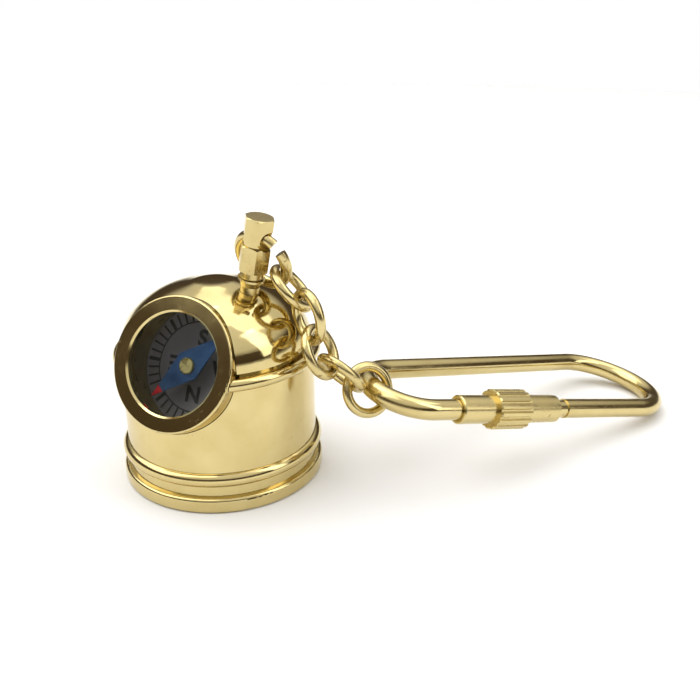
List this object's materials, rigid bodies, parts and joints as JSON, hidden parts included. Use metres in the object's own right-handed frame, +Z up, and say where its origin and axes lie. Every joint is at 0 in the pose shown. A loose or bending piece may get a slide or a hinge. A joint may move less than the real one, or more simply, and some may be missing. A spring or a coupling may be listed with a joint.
{
  "type": "ship compass key chain",
  "caption": "Brass binnacle-shaped pocket compass with an angled glazed port, a hexagonal swivel post, an open jump ring, a short round-link chain and a screw-lock key ring.",
  "frame": {"origin": "centre of the round underside that it stands on", "axes": "+Z up the drum, -Y towards the compass port, +X towards the side that carries the swivel post"},
  "size_m": [0.0632, 0.06, 0.0337],
  "materials": {
    "brass_turned": "turned and polished, slightly aged",
    "brass_spun": "spun and polished, slightly aged",
    "brass_bezel": "mirror polished",
    "brass_inner": "turned, unpolished",
    "window": "clear flat glass",
    "gasket": "black rubber",
    "card": "dark printed card",
    "steel_pin": "ground steel point",
    "needle_steel": "blued steel with a red tip",
    "brass_wire": "drawn and bent wire, satin",
    "brass_sleeve": "turned, brushed along its length"
  },
  "bodies": {
    "binnacle": {"base_ring": "brass_turned", "base_plate": "brass_inner", "drum_tube": "brass_turned", "collar_bead": "brass_turned", "dome_cap": "brass_spun", "port_tube": "brass_bezel", "bezel_ring": "brass_bezel", "window_glass": "window", "glass_gasket": "gasket", "capsule_cup": "brass_inner", "dial_card": "card", "pivot_pin": "steel_pin", "retaining_ring": "brass_inner", "swivel_stud": "brass_turned", "stud_washer": "brass_inner", "stud_nut": "brass_inner"},
    "needle": {"compass_needle": "needle_steel", "needle_cap": "brass_inner"},
    "swivel": {"swivel_barrel": "brass_turned"},
    "jump_ring": {"jump_ring": "brass_wire"},
    "link_1": {"chain_link_1": "brass_wire"},
    "link_2": {"chain_link_2": "brass_wire"},
    "link_3": {"chain_link_3": "brass_wire"},
    "link_4": {"chain_link_4": "brass_wire"},
    "link_5": {"chain_link_5": "brass_wire"},
    "key_ring": {"key_ring_wire": "brass_wire"},
    "lock_sleeve": {"lock_sleeve": "brass_sleeve"}
  },
  "joints": [
    {"name": "needle_spin", "type": "hinge", "parent": "binnacle", "child": "needle", "pos_m": [0, -0.00646, 0.01617], "axis": [0, -0.9033, 0.4289], "continuous": true},
    {"name": "swivel_spin", "type": "hinge", "parent": "binnacle", "child": "swivel", "pos_m": [0.005, 0, 0.02426], "axis": [0.1994, 0, 0.9799], "range_deg": [-20, 20]},
    {"name": "jump_ring_swing", "type": "hinge", "parent": "swivel", "child": "jump_ring", "pos_m": [0.00634, 0, 0.03083], "axis": [0.9746, -0.1045, -0.1983], "range_deg": [-3, 25]},
    {"name": "link_1_swing", "type": "hinge", "parent": "jump_ring", "child": "link_1", "pos_m": [0.00905, 0.00135, 0.02593], "axis": [-0.6006, 0.3765, -0.7054], "range_deg": [-25, 3]},
    {"name": "link_2_swing", "type": "hinge", "parent": "link_1", "child": "link_2", "pos_m": [0.01211, -0.00006, 0.02334], "axis": [-0.135, -0.865, 0.4833], "range_deg": [-3, 18]},
    {"name": "link_3_swing", "type": "hinge", "parent": "link_2", "child": "link_3", "pos_m": [0.0141, -0.00107, 0.01981], "axis": [0.7677, -0.5454, 0.3365], "range_deg": [-12, 30]},
    {"name": "link_4_swing", "type": "hinge", "parent": "link_3", "child": "link_4", "pos_m": [0.0158, 0.00059, 0.01629], "axis": [-0.2946, 0.8445, 0.4473], "range_deg": [-30, 12]},
    {"name": "link_5_swing", "type": "hinge", "parent": "link_4", "child": "link_5", "pos_m": [0.01788, 0.00253, 0.01302], "axis": [-0.7752, 0.5753, -0.2611], "range_deg": [-40, 40]},
    {"name": "key_ring_swing", "type": "hinge", "parent": "link_5", "child": "key_ring", "pos_m": [0.02057, 0.00577, 0.01195], "axis": [0.1718, -0.3629, -0.9159], "range_deg": [-25, 30]},
    {"name": "sleeve_travel", "type": "slide", "parent": "key_ring", "child": "lock_sleeve", "axis": [0.5781, 0.7834, -0.2281], "range_m": [0, 0.0018]}
  ]
}
